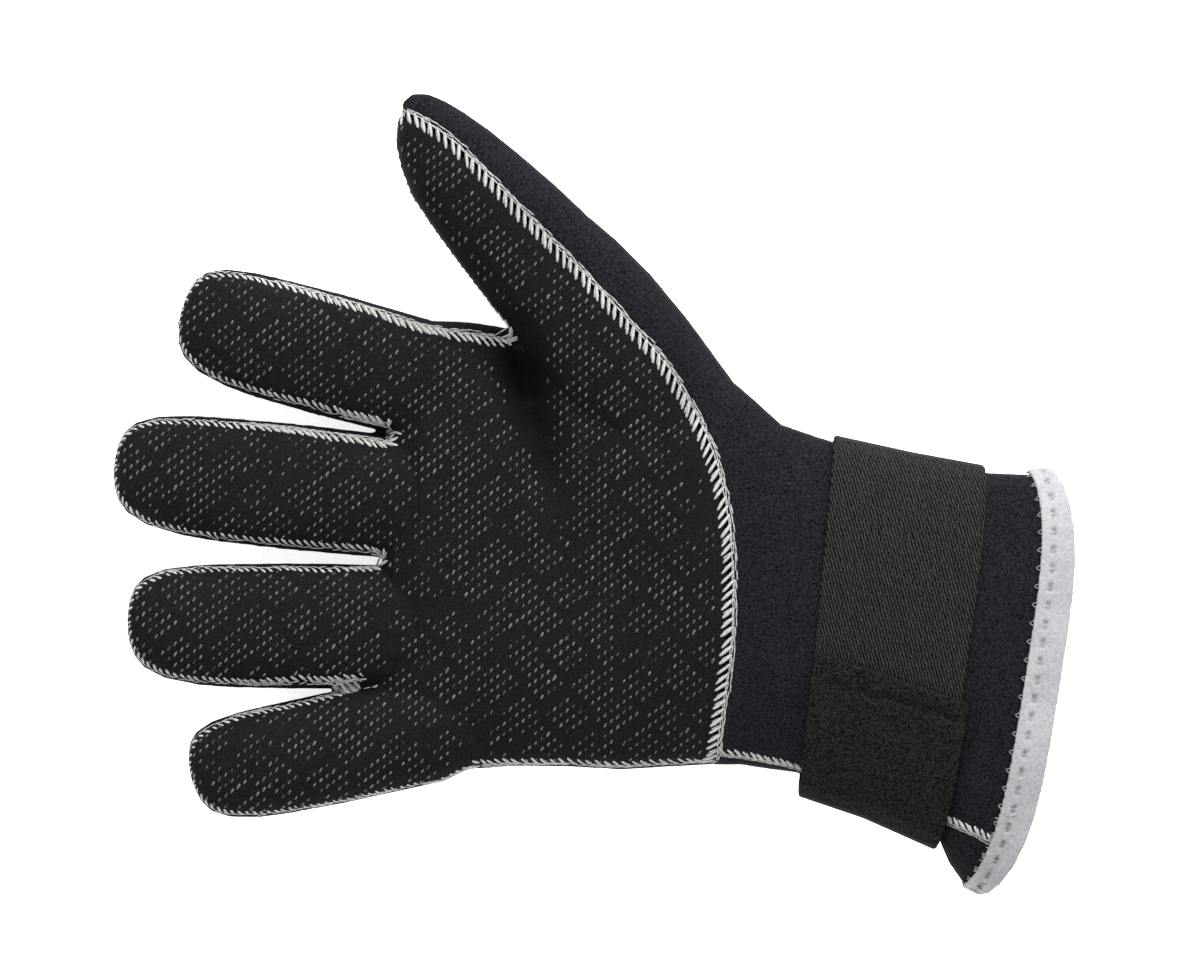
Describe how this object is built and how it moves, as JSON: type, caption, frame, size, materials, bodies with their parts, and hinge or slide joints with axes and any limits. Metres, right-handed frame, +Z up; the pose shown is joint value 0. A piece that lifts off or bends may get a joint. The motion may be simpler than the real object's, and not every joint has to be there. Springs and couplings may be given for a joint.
{
  "type": "diving glove",
  "caption": "Right-hand neoprene diving glove with a dotted grip palm, stitched panels, a taped cuff edge and an elastic wrist strap with a hook-and-loop tab.",
  "frame": {"origin": "middle of the glove's plan, on the surface that it lies on", "axes": "+X from the fingertips to the cuff, +Y to the thumb's side, +Z up out of the palm"},
  "size_m": [0.2588, 0.2156, 0.0412],
  "materials": {
    "grip_neoprene": "matte embossed neoprene with raised grip dots",
    "smooth_neoprene": "smooth jersey-faced neoprene",
    "binding_tape": "light grey woven tape",
    "elastic_webbing": "black twill elastic",
    "hook_tape": "fuzzy black hook-and-loop tape",
    "loop_tape": "fuzzy black loop tape"
  },
  "bodies": {
    "root": {"palm_panel": "grip_neoprene", "back_panel": "smooth_neoprene", "cuff_binding": "binding_tape", "strap_band": "elastic_webbing", "strap_tab": "hook_tape", "loop_patch": "loop_tape"}
  },
  "joints": []
}
